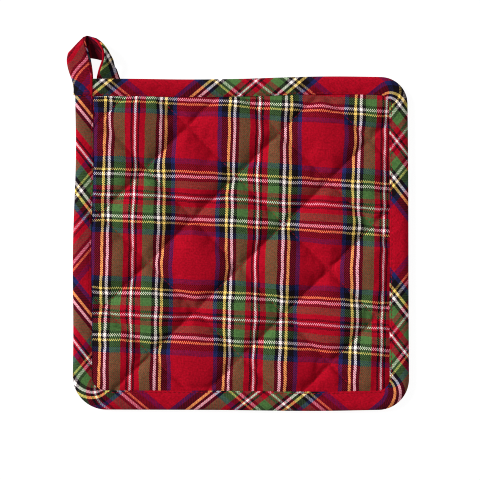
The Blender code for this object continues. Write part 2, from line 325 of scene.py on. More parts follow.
def checkedTwill(name, contrast):
    finish = Finish(name)
    place, colour, uneven, rounded, warpUp = twillNodes(finish)
    shade = mixedColour(finish, colour, warpUp, contrast)
    patchy = finish.node("ShaderNodeTexNoise", None,
                         {"Vector": place, "Scale": cloth["patchyScale"], "Detail": 3.0})
    fluff = finish.node("ShaderNodeTexNoise", None,
                        {"Vector": place, "Scale": cloth["fluffScale"], "Detail": 2.0})
    body = finish.node("ShaderNodeMix", {"data_type": "FLOAT"},
                       {0: warpUp, 2: rounded["weft"], 3: rounded["warp"]})
    tone = ((1 - cloth["unevenYarns"]) + cloth["unevenYarns"] * (uneven["warp"] + uneven["weft"])
            + cloth["patchy"] * (patchy - 0.5) + cloth["fluff"] * (fluff - 0.5))
    # painted shade and light: darker between the yarns, lighter on their crowns
    tone = tone * (cloth["paintedValleyShade"] + cloth["crown"] * body)
    grey = finish.node("ShaderNodeCombineXYZ", None, {0: tone, 1: tone, 2: tone})
    bump = finish.node("ShaderNodeBump", None, {
        "Strength": cloth["relief"], "Distance": cloth["reliefDepth"], "Height": body})
    finish.surface("Base Color", finish.vector("MULTIPLY", shade, grey))
    finish.surface("Normal", bump)
    finish.surface("Roughness", cloth["roughness"])
    finish.surface("Specular IOR Level", cloth["shine"])
    return finish.material


twillOnPad = checkedTwill("panelTwill", cloth["yarnContrast"])
twillOnBinding = checkedTwill("bindingTwill", cloth["biasContrast"])
twillOnLoop = checkedTwill("loopTwill", cloth["biasContrast"])
print("finishes made")


def gridQuads(rows, columns):
    # the four corners of each cell, where points are numbered row by row
    number = np.arange(rows * columns).reshape(rows, columns)
    return np.stack((number[:-1, :-1], number[1:, :-1], number[1:, 1:], number[:-1, 1:]), -1)


def loneEdges(faces):
    # the edges that only one face has
    edges = np.concatenate([faces[:, [a, (a + 1) % 4]] for a in range(4)])
    _, first, uses = np.unique(np.sort(edges, 1), axis=0, return_index=True, return_counts=True)
    return edges[first[uses == 1]]


def meshPiece(name, points, faces, clothMap, material):
    mesh = bpy.data.meshes.new(name)
    mesh.from_pydata((np.asarray(points) * mm).tolist(), [], faces)
    mesh.validate()
    attribute = mesh.attributes.new("clothMap", "FLOAT_VECTOR", "POINT")
    flat = np.zeros((len(clothMap), 3), np.float32)
    flat[:, :2] = clothMap
    attribute.data.foreach_set("vector", flat.ravel())
    mesh.materials.append(material)
    piece = bpy.data.objects.new(name, mesh)
    bpy.context.scene.collection.objects.link(piece)
    return piece


def selectOnly(piece):
    bpy.ops.object.select_all(action="DESELECT")
    piece.select_set(True)
    bpy.context.view_layer.objects.active = piece


def applyModifier(piece, kind, **settings):
    modifier = piece.modifiers.new(kind.title(), kind)
    for name, value in settings.items():
        setattr(modifier, name, value)
    selectOnly(piece)
    bpy.ops.object.modifier_apply(modifier=modifier.name)


def smoothShaded(piece):
    selectOnly(piece)
    bpy.ops.object.shade_smooth()


# The pad, in millimetres.
quilt = {
    "rising": (
        # x - y of each rising line of stitches, low left end and top right end
        (-158.3, -158.3), (-102.2, -103.4), (-45.2, -43.4),
        (11.2, 14.8), (67.6, 67.6), (125.2, 124.0),
    ),
    "falling": (
        # x + y of each falling line, top left end and low right end
        (-120.5, -120.0), (-66.5, -67.7), (-10.1, -19.1),
        (38.8, 36.7), (89.5, 90.7), (139.3, 138.7),
    ),
    "lineReach": 150.0,
    "reach": 190.0,
    "nextLine": 57.0,      # from an outer line to where the next would be
    "beyond": 20.0,
    "cellSteps": 20,       # grid steps between two lines of stitches
    "evenSteps": 0.65,     # the rest of their spacing is closer by the stitches
    "gridHalf": 104.0,
    "trim": 0.35,          # the grid ends this far inside the rim
    "rimInset": 1.7,       # where the pad ends inside the binding
    "rimTop": 4.1,
    "faceAtRim": 4.7,
    "rimSlope": 0.5,       # under the binding, within the next distance
    "rimSloped": 1.0,
    "faceAtStitch": 5.0,
    "rimRise": 12.0,       # over this width the face comes up from the rim
    "crown": 4.0,
    "sharpness": 2.6,
    "risingHalf": 20.2,    # half the spacing of each set of lines, and the
    "fallingHalf": 18.6,   # width in which the puffs run out at the rim
    "rimHalf": 16.0,
    "seenInset": 0.2,
    "heldInset": 0.3,
    "startShare": 0.35,    # of the crown, before the cloth settles
    "settledBounds": (-0.3, 5.2),
    "back": 1.6,
    "backAtRim": 1.5,
    "backLowest": 0.05,
    "backShare": 0.42,
    "backCloth": (31.0, 17.0),
    "ease": 0.045,         # extra cloth over the filling
    "frames": 24,
    "upward": 9.8,
    "settling": {
        "quality": 8,
        "mass": 0.05,
        "tension_stiffness": 12,
        "compression_stiffness": 12,
        "shear_stiffness": 1,
        "bending_stiffness": 0.006,
        "air_damping": 2.0,
    },
    "threadBite": 0.6,     # how far the stitches sink below the cloth beside them
}


def latticeStops(lines):
    # both ends of each grid line, and whether it is a line of stitches
    steps, reach, even = quilt["cellSteps"], quilt["reach"], quilt["evenSteps"]
    before = tuple(end - quilt["nextLine"] for end in lines[0])
    after = tuple(end + quilt["nextLine"] for end in lines[-1])
    ends = [before, *lines, after]
    outermost = reach + quilt["beyond"]
    if min(before) > -reach:
        ends.insert(0, (-outermost, -outermost))
    if max(after) < reach:
        ends.append((outermost, outermost))
    stops, onLine = [], []
    for start, end in zip(ends, ends[1:]):
        for step in range(steps):
            share = step / steps
            share = even * share + (1 - even) * (0.5 - 0.5 * math.cos(math.pi * share))
            stops.append([a + (b - a) * share for a, b in zip(start, end)])
            onLine.append(step == 0 and start in lines)
    return np.array(stops), np.array(onLine)


def padGrid():
    # grid points along the lines of stitches, and which of them are stitched
    rising, risingStitched = latticeStops(quilt["rising"])
    falling, fallingStitched = latticeStops(quilt["falling"])
    rise = (rising[:, 1] - rising[:, 0]) / (2 * quilt["lineReach"])
    fall = (falling[:, 1] - falling[:, 0]) / (2 * quilt["lineReach"])
    middleRise, middleFall = rising.mean(1), falling.mean(1)
    total = ((middleFall[None] + fall[None] * middleRise[:, None]) / (1 - rise[:, None] * fall[None]))
    difference = middleRise[:, None] + rise[:, None] * total
    stitched = risingStitched[:, None] | fallingStitched[None]
    return (total + difference) / 2, (total - difference) / 2, stitched


def trimmedGrid(outline):
    # the grid's part inside the outline, with its border drawn to it
    x, y, stitched = padGrid()
    inside = np.full(x.shape, -1.0)
    near = (np.abs(x) < quilt["gridHalf"]) & (np.abs(y) < quilt["gridHalf"])
    inside[near], _ = distanceInside(outline, x[near], y[near])
    keep = inside > quilt["trim"]
    quads = keep[:-1, :-1] & keep[1:, :-1] & keep[:-1, 1:] & keep[1:, 1:]
    used, faces = np.unique(gridQuads(*x.shape)[quads], return_inverse=True)
    faces = faces.reshape(-1, 4)
    place = np.stack((x.ravel()[used], y.ravel()[used]), 1)
    border = np.unique(loneEdges(faces))
    _, nearest = distanceInside(outline, *place[border].T)
    place[border] = nearest
    return place, faces, stitched.ravel()[used]


# How the panel's cloth lies: a little askew, and eased unevenly by the sewing.
panelCloth = {
    "warpAnchors": (
        # x on the pad's middle line, and yarns from the middle white line
        (-83.3, -233.5), (-64.9, -188.0), (-47.0, -142.5), (-8.9, -45.5),
        (8.9, 0.0), (28.1, 45.5), (66.7, 142.5), (85.2, 188.0),
    ),
    "weftAnchors": (
        # y on the pad's middle line, and yarns from the upper white line
        (-60.6, -197.0), (-45.0, -162.0), (-29.4, -127.0), (10.8, -35.0),
        (26.5, 0.0), (41.7, 35.0), (57.4, 69.3), (82.2, 127.0),
    ),
    "middle": (-0.7, -5.8),
    "warpLean": 0.0245,
    "weftSlope": 0.054,
    "weftBow": 0.000127,
    "uneven": 0.25,
    "unevenLength": 34.0,
    "pull": (80.0, 50.0, 30.0, 0.9, -0.5),    # x, y, reach, and how far the sewing pulls it
}


def easedAlong(anchors, at):
    # between the anchors in straight steps, beyond them at the outer pitch
    spots, yarns = np.array(anchors).T
    result = np.interp(at, spots, yarns)
    for first, second, beyond in ((0, 1, at < spots[0]), (-1, -2, at > spots[-1])):
        pitch = (yarns[first] - yarns[second]) / (spots[first] - spots[second])
        result = np.where(beyond, yarns[first] + (at - spots[first]) * pitch, result)
    return result


def clothOfPanel(x, y):
    middleX, middleY = panelCloth["middle"]
    pullX, pullY, reach, aside, up = panelCloth["pull"]
    pulled = np.exp(-((x - pullX) ** 2 + (y - pullY) ** 2) / reach ** 2)
    x, y = x + aside * pulled, y + up * pulled
    acrossWarp = x + panelCloth["warpLean"] * (middleY - y)
    offset = x - middleX
    acrossWeft = y + panelCloth["weftSlope"] * offset + panelCloth["weftBow"] * offset ** 2
    unevenWarp = panelCloth["uneven"] * waves(x, y, panelCloth["unevenLength"], 4)
    unevenWeft = panelCloth["uneven"] * waves(x, y, panelCloth["unevenLength"], 9)
    warp = easedAlong(panelCloth["warpAnchors"], acrossWarp) * cloth["warpPitch"] + unevenWarp
    weft = easedAlong(panelCloth["weftAnchors"], acrossWeft) * cloth["weftPitch"] + unevenWeft
    return np.stack((warp, weft), 1)


def lineDistance(lines, across, along):
    # to the nearest line of stitches of one set
    shares = (along + quilt["lineReach"]) / (2 * quilt["lineReach"])
    return np.min([np.abs(across - (a + (b - a) * shares)) for a, b in lines], 0) / math.sqrt(2)


def puffs(x, y, inside):
    # from 0 on the stitches to 1 in the middle of a diamond
    def swell(distance, half):
        return 1.0 - (1.0 - np.minimum(distance / half, 1.0)) ** quilt["sharpness"]
    rising = swell(lineDistance(quilt["rising"], x - y, x + y), quilt["risingHalf"])
    falling = swell(lineDistance(quilt["falling"], x + y, x - y), quilt["fallingHalf"])
    return rising * falling * swell(np.maximum(inside, 0.0), quilt["rimHalf"])


def inflate(place, faces, held, heights):
    # the face panel as loose cloth over the filling, held where it is sewn
    points = np.column_stack((place, heights))
    panel = meshPiece("loosePanel", points, faces.tolist(), place, twillOnPad)
    group = panel.vertex_groups.new(name="sewn")
    group.add([int(number) for number in np.flatnonzero(held)], 1.0, "REPLACE")
    modifier = panel.modifiers.new("Cloth", "CLOTH")
    settings = modifier.settings
    for name, value in quilt["settling"].items():
        setattr(settings, name, value)
    settings.vertex_group_mass = "sewn"
    settings.shrink_min = -quilt["ease"]
    modifier.collision_settings.use_collision = False
    modifier.point_cache.frame_start = 1
    modifier.point_cache.frame_end = quilt["frames"]
    scene = bpy.context.scene
    scene.gravity = (0, 0, quilt["upward"])
    for number in range(1, quilt["frames"] + 1):
        scene.frame_set(number)
    graph = bpy.context.evaluated_depsgraph_get()
    settled = panel.evaluated_get(graph).to_mesh()
    result = np.zeros(len(place) * 3, np.float32)
    settled.vertices.foreach_get("co", result)
    panel.evaluated_get(graph).to_mesh_clear()
    scene.frame_set(1)
    scene.gravity = (0, 0, -quilt["upward"])
    bpy.data.objects.remove(panel)
    return result.reshape(-1, 3).astype(float) / mm


def faceHeights(inside):
    # of the face where it is sewn: low under the binding, up to full height inside
    rim, sewn = quilt["faceAtRim"], quilt["faceAtStitch"]
    heights = np.where(inside > 0, rim + (sewn - rim) * np.minimum(inside / quilt["rimRise"], 1.0),
                       quilt["rimTop"])
    sloped = (inside < 0) & (inside > -quilt["rimSloped"])
    return np.where(sloped, rim + inside * quilt["rimSlope"], heights)


def closedAtRim(faces, count):
    # the face's quads, the back's turned over, and the rim's between them
    quads = faces.tolist() + [[corner + count for corner in reversed(quad)] for quad in faces.tolist()]
    return quads + [[b, a, a + count, b + count] for a, b in loneEdges(faces).tolist()]


def buildPad():
    points, inwards, widths, _ = outlineStations(edge["coarse"])
    rim = points + inwards * quilt["rimInset"]
    seen = points + inwards * (widths + quilt["seenInset"])[:, None]
    place, faces, stitched = trimmedGrid(rim)
    x, y = place.T
    inside, _ = distanceInside(seen, x, y)
    base = faceHeights(inside)
    swelling = quilt["crown"] * puffs(x, y, inside)
    face = np.column_stack((place, base + swelling))
    held = stitched | (inside < quilt["heldInset"])
    lowest, highest = quilt["settledBounds"]
    face = inflate(place, faces, held, base + quilt["startShare"] * swelling)
    face[:, 2] = np.clip(face[:, 2], base + lowest, base + highest)
    print("pad settled, crowns up to", round(float(face[:, 2].max()), 2))
    face[stitched, 2] -= quilt["threadBite"]
    under = np.where(inside > 0, quilt["back"], quilt["backAtRim"])
    back = face.copy()
    back[:, 2] = np.maximum(under - quilt["backShare"] * (face[:, 2] - base), quilt["backLowest"])
    for panel in (face, back):
        panel[:, 2] += liftAt(x, y)
    flat = clothOfPanel(x, y)
    piece = meshPiece("quiltedPad", np.concatenate((face, back)), closedAtRim(faces, len(place)),
                      np.concatenate((flat, flat + quilt["backCloth"])), twillOnPad)
    applyModifier(piece, "SUBSURF", levels=1, render_levels=1)
    smoothShaded(piece)
    return piece


pad = buildPad()
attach(pad, "root")
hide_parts("quilted_pad")
print("pad made:", len(pad.data.polygons), "faces")


# The folded strip, which is the binding and the hanging loop.
strip = {
    "ply": 0.42,           # one layer of cloth
    "turn": 0.56,          # radius of a hem's fold, in layers
    "hem": 5.0,            # turned under along both edges
    "hemStart": 0.5,       # of it, taken up by its fold
    "hemSteps": 4,
    "boundHeight": 5.6,
    "rootHeight": 6.6,
    "rootRise": (81.0, 88.0),
    "crease": 0.8,         # of that rise, lost again where the loop turns up
    "creaseAt": (88.2, 89.3),
    "towardsX": 0.9,       # how squarely the side beside it faces +X
    "faceSteps": 18,
    "firstStep": 0.04,
    "closerAtRim": 1.5,
    "rimDepth": 6.5,       # how far in the bound edge is round
    "rimRatio": 1.8,       # of that to half the height, at most
    "roundness": 2.0,
    "firmHeight": 4.0,     # what is flatter than this is pressed in less
    "groove": 0.25,        # pressed in by the stitches
    "grooveWidth": 0.6,
    "edgeDrop": 0.3,       # the stitches draw the inner edge down
    "dropFrom": 0.55,      # of the width
    "roll": 1.1,           # width of the rolled edge that shows beside the loop
    "rollEdge": 0.004,
    "stitchInset": 0.9,    # line of stitches, from the strip's inner edge
    "pucker": 0.2,         # the sewing leaves the face a little uneven
    "puckerLength": 15.0,
    "puckerRise": 5.0,
    "lowest": 0.02,        # clear of what the pot holder lies on
    "neutral": 5.5,        # from the bound edge to the strip's middle
    "startX": -96.0,
    "splitX": -90.0,
    "splitY": 89.3,
    "shortest": 0.5,       # last step before the split
    "acrossWarp": 0.80,    # how far the check shifts in each millimetre across
    "anchors": (
        # x or y on the bound edge where a straight side starts or ends, and the
        # cloth's place there across its warp and its weft
        (-86.0, 12.3, 11.4), (84.0, 122.4, 122.3),
        (84.0, 131.1, 135.0), (-80.0, 233.6, 241.7),
        (82.0, 246.7, 254.5), (-80.0, 348.4, 360.6),
        (-79.0, 362.1, 375.9), (86.0, 465.8, 481.7),
    ),
    "beforeArc": 3,        # stations before a side that may hold its anchor
}


def halfSection(width, height, groove):
    # One face of the folded strip, from the bound edge to the end of its hem:
    # distance in from the bound edge, distance from the middle plane, and
    # distance along the cloth.
    ply = strip["ply"]
    outer = height / 2 - ply / 2
    turn = ply * strip["turn"]
    tip = width - turn
    firmness = min(1.0, height / strip["firmHeight"])
    rimDepth = min(strip["rimDepth"], outer * strip["rimRatio"])
    roundness = strip["roundness"]
    half = [(0.0, 0.0)]
    faceShares = np.linspace(strip["firstStep"], 1, strip["faceSteps"]) ** strip["closerAtRim"]
    rollShares = (1 - strip["roll"] / tip) + np.array((-strip["rollEdge"], strip["rollEdge"]))
    for share in np.sort(np.concatenate((faceShares, rollShares))):
        inset = tip * share
        rounded = (1 - (1 - min(inset / rimDepth, 1)) ** roundness) ** (1 / roundness)
        fromStitches = (inset - (width - strip["stitchInset"])) / strip["grooveWidth"]
        pressed = groove * math.exp(-fromStitches ** 2)
        sunk = strip["edgeDrop"] * float(smoothStep(inset, strip["dropFrom"] * width, width))
        half.append((inset, outer * rounded - (pressed + sunk) * firmness))
    edgeOffset = half[-1][1]
    for angle in (45, 90, 135):
        half.append((tip + turn * math.sin(math.radians(angle)),
                     edgeOffset - turn + turn * math.cos(math.radians(angle))))
    for share in np.linspace(0, 1, strip["hemSteps"]):
        half.append((tip - (strip["hem"] - strip["hemStart"]) * share, edgeOffset - 2 * turn))
    return np.column_stack((half, runAlong(half)))


def foldedSection(width, height, groove, step=0.0):
    # both faces, from the hem behind to the hem in front, which ends sooner
    face = halfSection(width - step, height, groove)
    behind = halfSection(width, height, groove)[1:] * (1, -1, -1)
    return np.concatenate((behind[::-1], face))


def sweptStrip(name, rings, maps, material):
    # a sheet through rings of equal count, given its thickness
    rings, maps = np.array(rings), np.array(maps)
    faces = gridQuads(*rings.shape[:2]).reshape(-1, 4).tolist()
    piece = meshPiece(name, rings.reshape(-1, 3), faces, maps.reshape(-1, 2), material)
    applyModifier(piece, "SOLIDIFY", thickness=strip["ply"] * mm, offset=0.0, use_even_offset=False)
    smoothShaded(piece)
    return piece


def clothOfStrip(warp, weft, inset):
    across = strip["acrossWarp"]
    return np.column_stack((warp + across * inset, weft - across * inset))


def bindingStations():
    # point, inward normal, width and run, from beside the loop's root right
    # round to the root; and the run, warp and weft of each anchor
    points, inwards, widths, marks = outlineStations(edge["fine"])
    run = runAlong(points + inwards * strip["neutral"])
    ends = [marks[1][0], marks[2][0], marks[3][0], len(points) - 1]
    anchors = []
    for number, (place, warp, weft) in enumerate(strip["anchors"]):
        side = number // 2
        numbers = np.arange(marks[side][1] - strip["beforeArc"], ends[side] + 1)
        nearest = np.argmin(np.abs(points[numbers, side % 2] - place))
        anchors.append((run[numbers[nearest]], warp, weft))
    begin = marks[0][1]
    x, y = points[begin]
    stations = [(np.array((before, y)), inwards[begin], widths[begin], run[begin] - (x - before))
                for before in np.arange(strip["startX"], x, edge["fine"])]
    for station in zip(points[begin:], inwards[begin:], widths[begin:], run[begin:]):
        x, y = station[0]
        if x >= strip["splitX"] or y <= strip["splitY"] - strip["shortest"]:
            stations.append(station)
    point, inward, width, at = stations[-1]
    rest = strip["splitY"] - point[1]
    stations.append((np.array((point[0], strip["splitY"])), inward, width, at + rest))
    return stations, np.array(anchors)


def heightAt(point, inward):
    # the strip grows thicker towards the loop's root, on the side that leads to it
    if inward[0] < strip["towardsX"]:
        return strip["boundHeight"]
    crease = strip["crease"] * smoothStep(point[1], *strip["creaseAt"])
    rooted = float(smoothStep(point[1], *strip["rootRise"]) - crease)
    return strip["boundHeight"] + (strip["rootHeight"] - strip["boundHeight"]) * rooted


def buildBinding():
    stations, anchors = bindingStations()
    rings, maps = [], []
    for point, inward, width, at in stations:
        section = foldedSection(width, heightAt(point, inward), strip["groove"])
        inset, offset, run = section.T
        x = point[0] + inward[0] * inset
        y = point[1] + inward[1] * inset
        puckered = (waves(x, y, strip["puckerLength"], 1) * smoothStep(inset, 0, strip["puckerRise"])
                    * smoothStep(offset, 0, 1))
        z = strip["boundHeight"] / 2 + offset + strip["pucker"] * puckered + liftAt(x, y)
        z = np.where(offset < 0, np.maximum(z, strip["ply"] / 2 + strip["lowest"]), z)
        rings.append(np.column_stack((x, y, z)))
        warp, weft = (easedAlong(anchors[:, (0, column)], at) for column in (1, 2))
        hemmed = np.maximum(run - run.max() + strip["hem"] - strip["hemStart"], 0)
        spread = np.where(run > 0, np.minimum(inset + hemmed * 2, run), run)
        maps.append(clothOfStrip(warp, weft, spread))
    piece = sweptStrip("bindingStrip", rings, maps, twillOnBinding)
    middle = np.array([point + inward * strip["neutral"] for point, inward, _, _ in stations])
    length = float(np.sum(np.hypot(*np.diff(middle, axis=0).T)))
    return piece, length, clothOfStrip(warp, weft, np.array((0.0, width)))


binding, bindingLength, clothAtRoot = buildBinding()
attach(binding, "root")
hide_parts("binding")
print("binding made:", len(binding.data.polygons), "faces,", round(bindingLength), "mm long")


loop = {
    "sections": (
        # inner x, y, z, outer x, y, z, thickness, bulge
        (-88.9, 89.3, 5.6, -100.1, 89.3, 5.6, 5.8, 0.0),
        (-88.9, 90.5, 5.6, -100.1, 90.5, 5.6, 6.6, 0.0),
        (-88.9, 93.5, 5.6, -100.1, 93.5, 5.6, 6.6, 0.0),
        (-88.9, 97.5, 5.6, -100.8, 97.5, 5.6, 6.6, 0.0),
        (-88.9, 100.6, 5.6, -101.8, 100.4, 5.6, 4.4, 0.0),
        (-89.1, 104.0, 5.7, -102.9, 103.4, 5.4, 2.2, 0.2),
        (-89.6, 107.6, 5.9, -103.8, 106.8, 5.2, 1.8, 0.3),
        (-90.3, 111.4, 6.2, -104.2, 109.6, 5.0, 1.8, 0.3),
        (-91.4, 115.2, 6.5, -104.2, 111.0, 4.9, 1.8, 0.3),
        (-92.6, 118.8, 6.6, -104.0, 112.2, 4.8, 1.8, 0.3),
        (-93.2, 121.8, 6.2, -103.7, 113.3, 4.6, 1.8, 0.3),
        (-93.2, 124.3, 4.9, -103.3, 114.0, 3.5, 1.8, 0.1),
        (-92.8, 125.0, 3.4, -102.6, 113.6, 1.9, 1.8, 0.0),
        (-92.3, 125.0, 2.3, -101.0, 112.6, 1.1, 1.8, 0.0),
        (-92.1, 125.0, 2.1, -96.6, 112.0, 1.0, 1.8, 0.0),
        (-91.9, 125.0, 2.2, -91.6, 112.1, 1.0, 1.8, 0.0),
        (-91.7, 125.0, 2.6, -87.2, 111.5, 1.0, 1.8, 0.0),
        (-91.2, 124.8, 3.3, -83.4, 110.6, 1.1, 1.8, 0.4),
        (-90.0, 124.2, 4.8, -80.2, 110.2, 1.8, 1.8, 1.0),
        (-88.0, 122.9, 6.6, -78.0, 110.3, 2.8, 1.8, 1.5),
        (-85.7, 120.7, 8.2, -77.1, 109.8, 3.4, 1.8, 1.4),
        (-83.8, 118.0, 9.6, -76.6, 108.6, 3.4, 1.8, 0.9),
        (-82.4, 115.6, 10.3, -76.2, 107.0, 3.0, 1.8, 0.4),
        (-82.1, 113.0, 10.4, -75.7, 105.3, 2.4, 1.8, 0.2),
        (-82.6, 110.2, 9.8, -74.6, 103.9, 2.0, 1.8, 0.4),
        (-83.7, 107.4, 8.4, -74.0, 102.4, 1.7, 1.8, 0.4),
        (-84.9, 104.8, 6.4, -73.4, 100.9, 1.4, 1.8, 0.4),
        (-85.9, 102.2, 3.6, -73.0, 99.8, 1.1, 1.8, 0.2),
        (-86.6, 99.8, 1.5, -72.8, 98.4, 1.0, 1.8, 0.0),
        (-86.6, 97.0, 1.0, -72.8, 96.2, 1.0, 1.8, 0.0),
        (-86.6, 90.8, 1.0, -72.8, 90.8, 1.0, 1.8, 0.0),
    ),
    "substeps": 5,
    "bulgeSkew": 0.6,
    "groove": 0.12,
    "stepRows": (4.0, 5.0),  # between these the hem behind comes to show beyond the front
    # The cloth's yarns, from the white lines that cross at the top, read from
    # where the stripes lie on the loop; behind, from row 12 on, black warp over red weft is set so that
    # the loop's inside shows dark, a painted shade. They are even between the rows given, and before
    # the first one the binding's cloth runs on.
    "warpOnFace": (
        # row of sections, at the bound edge, at the hem
        (1, -141, -124), (2, -135.5, -121.5), (3, -130, -119), (4, -125, -113), (12, -104, -67),
        (13, -97.5, -66), (13.4, -95, -65.5), (15, -85, -63.5), (17, -71, -60), (18, -64, -58),
        (19, -53, -53), (20, -44, -47.5), (21, -42.5, -41), (22, -42, -36.5), (23, -42, -32.5),
        (24, -42, -26), (25, -42, -20), (26, -41.5, -14.5), (27, -41, -10), (30, -34, 6),
    ),
    "weftOnFace": (
        (1, -41, -61), (2, -38, -58), (3, -31, -50), (4, -24.5, -49), (5, -17, -45),
        (6, -12.5, -38), (7, -6.5, -32), (8, -5, -27), (9, -3.5, -17.5), (10, -1.5, -11),
        (11, 1, -5), (12, 6, 0), (13, 11.5, 0.5), (13.4, 13.5, 0.5), (15, 22, 1.5),
        (17, 30, 3), (18, 34, 4), (19, 35, 6), (20, 37, 8.5), (21, 41, 12), (22, 45.5, 18.5),
        (23, 49, 24), (24, 52, 27), (25, 55, 31), (27, 61, 37), (30, 79, 56),
    ),
    # from row 12 on, dark yarns are set where the loop's inside lies in shade: painted shade
    "warpBehind": (
        (1, -140, -110), (5, -108, -112), (6, -100, -122), (7, -92, -134), (8, -84, -135),
        (9, -76, -125), (10, -68, -116), (11, -60, -90), (12, -52, -56), (13, -51, -54),
        (15, -50, -53), (17, -49, -53), (18, -50, -59), (19, -51, -67), (20, -52, -70),
        (24, -56, -74), (27, -59, -80), (30, -60, -88),
    ),
    "weftBehind": (
        (1, -40, 10), (5, -12, 12), (6, -5, 15), (7, 2, 20), (8, 9, 27.5), (9, 16, 34),
        (10, 23, 38), (11, 30, 41), (12, 38, 40), (13, 41, 43), (13.4, 53.5, 53.5),
        (15, 55, 55), (17, 57, 57), (18, 58, 58), (19, 59, 60), (24, 64, 70), (25, 65, 72),
        (27, 68, 78), (30, 76, 90),
    ),
    "crowding": (
        # row, and how the yarns gather: 1 evenly, below 1 towards the bound edge
        (1, 1), (2, 0.9), (3, 0.7), (5, 0.7), (6, 0.8), (7, 1), (8, 1.2), (10, 1),
    ),
    "crowdingBehind": 3.0,
}


def splined(rows, position):
    index = min(int(position), len(rows) - 2)
    share = position - index
    a, b = rows[max(index - 1, 0)], rows[index]
    c, d = rows[index + 1], rows[min(index + 2, len(rows) - 1)]
    return 0.5 * (2 * b + (c - a) * share + (2 * a - 5 * b + 4 * c - d) * share ** 2
                  + (3 * b - a - 3 * c + d) * share ** 3)


def columnsAt(rows, positions):
    # the columns of a short table, in even steps between its rows
    first, *columns = np.array(rows).T
    return np.stack([np.interp(positions, first, column) for column in columns], -1)


def clothOfLoop(clothAtRoot, positions):
    # warp and weft at the bound edge and at the hem, on the face and behind
    face, behind = [], []
    for system, root in zip(("warp", "weft"), clothAtRoot.T):
        pitch = cloth[system + "Pitch"]
        repeat = 2 * (sum(count for _, count in cloth[system]) - 1)
        root = root / pitch
        root = root - repeat * np.round((root[0] - loop[system + "OnFace"][0][1]) / repeat)
        hemBehind = loop[system + "Behind"][0][2]
        face.append(pitch * columnsAt(((0, *root), *loop[system + "OnFace"]), positions))
        behind.append(pitch * columnsAt(((0, root[0], hemBehind), *loop[system + "Behind"]), positions))
    return np.stack(face, -1), np.stack(behind, -1)


def loopRing(number, inner, outer, section, bulge):
    # the section set across the strip at one place of its run
    before, after = max(number - 1, 0), min(number + 1, len(inner) - 1)
    across = inner[number] - outer[number]
    width = np.linalg.norm(across)
    across = across / width
    ring = []
    for inset, offset, _ in section:
        share = min(max(1 - inset / width, 0.0), 1.0)
        tangent = ((inner[after] - inner[before]) * (1 - share)
                   + (outer[after] - outer[before]) * share)
        normal = np.cross(across, tangent)
        length = np.linalg.norm(normal)
        normal = normal / length if length > 1e-6 else np.array((0, 0, 1.0))
        lean = bulge * math.sin(math.pi * share ** loop["bulgeSkew"])
        ring.append(outer[number] + across * inset + normal * (offset + lean))
    ring = np.array(ring)
    ring[:, 2] = np.maximum(ring[:, 2], strip["ply"] / 2 + strip["lowest"])
    return ring


def buildLoop(clothAtRoot):
    rows = np.array(loop["sections"])
    positions = np.linspace(0, len(rows) - 1, (len(rows) - 1) * loop["substeps"] + 1)
    table = np.array([splined(rows, position) for position in positions])
    inner, outer, heights, bulges = table[:, 0:3], table[:, 3:6], table[:, 6], table[:, 7]
    clothOnFace, clothBehind = clothOfLoop(clothAtRoot, positions)
    crowding = columnsAt(loop["crowding"], positions)
    rings, maps = [], []
    for number, position in enumerate(positions):
        width = np.linalg.norm(inner[number] - outer[number])
        step = strip["roll"] * float(smoothStep(position, *loop["stepRows"]))
        section = foldedSection(width, heights[number], loop["groove"], step)
        rings.append(loopRing(number, inner, outer, section, bulges[number]))
        share = section[:, :1] / width
        rim, hem = clothOnFace[number]
        rimBehind, hemBehind = clothBehind[number]
        rollStart = width - strip["ply"] * strip["turn"] - (strip["roll"] - step)
        face = np.where(section[:, :1] > rollStart, hemBehind,
                        rim + (hem - rim) * share ** crowding[number])
        behind = rimBehind + (hemBehind - rimBehind) * share ** loop["crowdingBehind"]
        maps.append(np.where(section[:, 2:] < 0, behind, face))
    middle = (inner + outer) / 2
    length = float(np.sum(np.linalg.norm(np.diff(middle, axis=0), axis=1)))
    return sweptStrip("hangingLoop", rings, maps, twillOnLoop), length


hangingLoop, loopLength = buildLoop(clothAtRoot)
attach(hangingLoop, "root")
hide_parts("hanging_loop")
print("loop made:", len(hangingLoop.data.polygons), "faces,", round(loopLength), "mm long")


# One stitch is modelled and copied along the rows of sewing.
stitching = {
    "length": 1.9,
    "thickness": 0.42,
    "pitch": 2.8,          # from one stitch to the next
    "standsOut": 0.10,
    "shade": (0.36, 0.004, 0.016, 1.0),
    "dark": (0.22, 0.003, 0.010, 1.0),
    "fuzzScale": 900.0,
    "twistScale": 1400.0,
    "fuzzShare": 0.6,      # the twist has the rest
    "relief": 0.4,
    "reliefDepth": 0.00005,  # metres
    "roughness": 0.8,
    "shine": 0.1,
    "inside": 1.5,         # the quilting ends this far inside the binding
    "linePoints": 400,
    "rootRow": ((-100.4, 88.8), (-89.6, 88.8)),    # across the loop's root
    "nearby": 0.5,         # a row's direction is taken over this distance
    "castFrom": 0.05,      # metres above and below the cloth
}


def threadFinish():
    finish = Finish("stitchThread")
    place = finish.node("ShaderNodeTexCoord", None, None, output=3)
    fuzz = finish.node("ShaderNodeTexNoise", None,
                       {"Vector": place, "Scale": stitching["fuzzScale"], "Detail": 2.0})
    twist = finish.node("ShaderNodeTexWave", {"bands_direction": "DIAGONAL"},
                        {"Vector": place, "Scale": stitching["twistScale"], "Distortion": 1.0})
    bump = finish.node("ShaderNodeBump", None, {
        "Strength": stitching["relief"], "Distance": stitching["reliefDepth"], "Height": twist})
    share = fuzz * stitching["fuzzShare"] + twist * (1 - stitching["fuzzShare"])
    shade = finish.mix(share, stitching["dark"], stitching["shade"])
    finish.surface("Base Color", shade)
    finish.surface("Normal", bump)
    finish.surface("Roughness", stitching["roughness"])
    finish.surface("Specular IOR Level", stitching["shine"])
    return finish.material


thread = threadFinish()


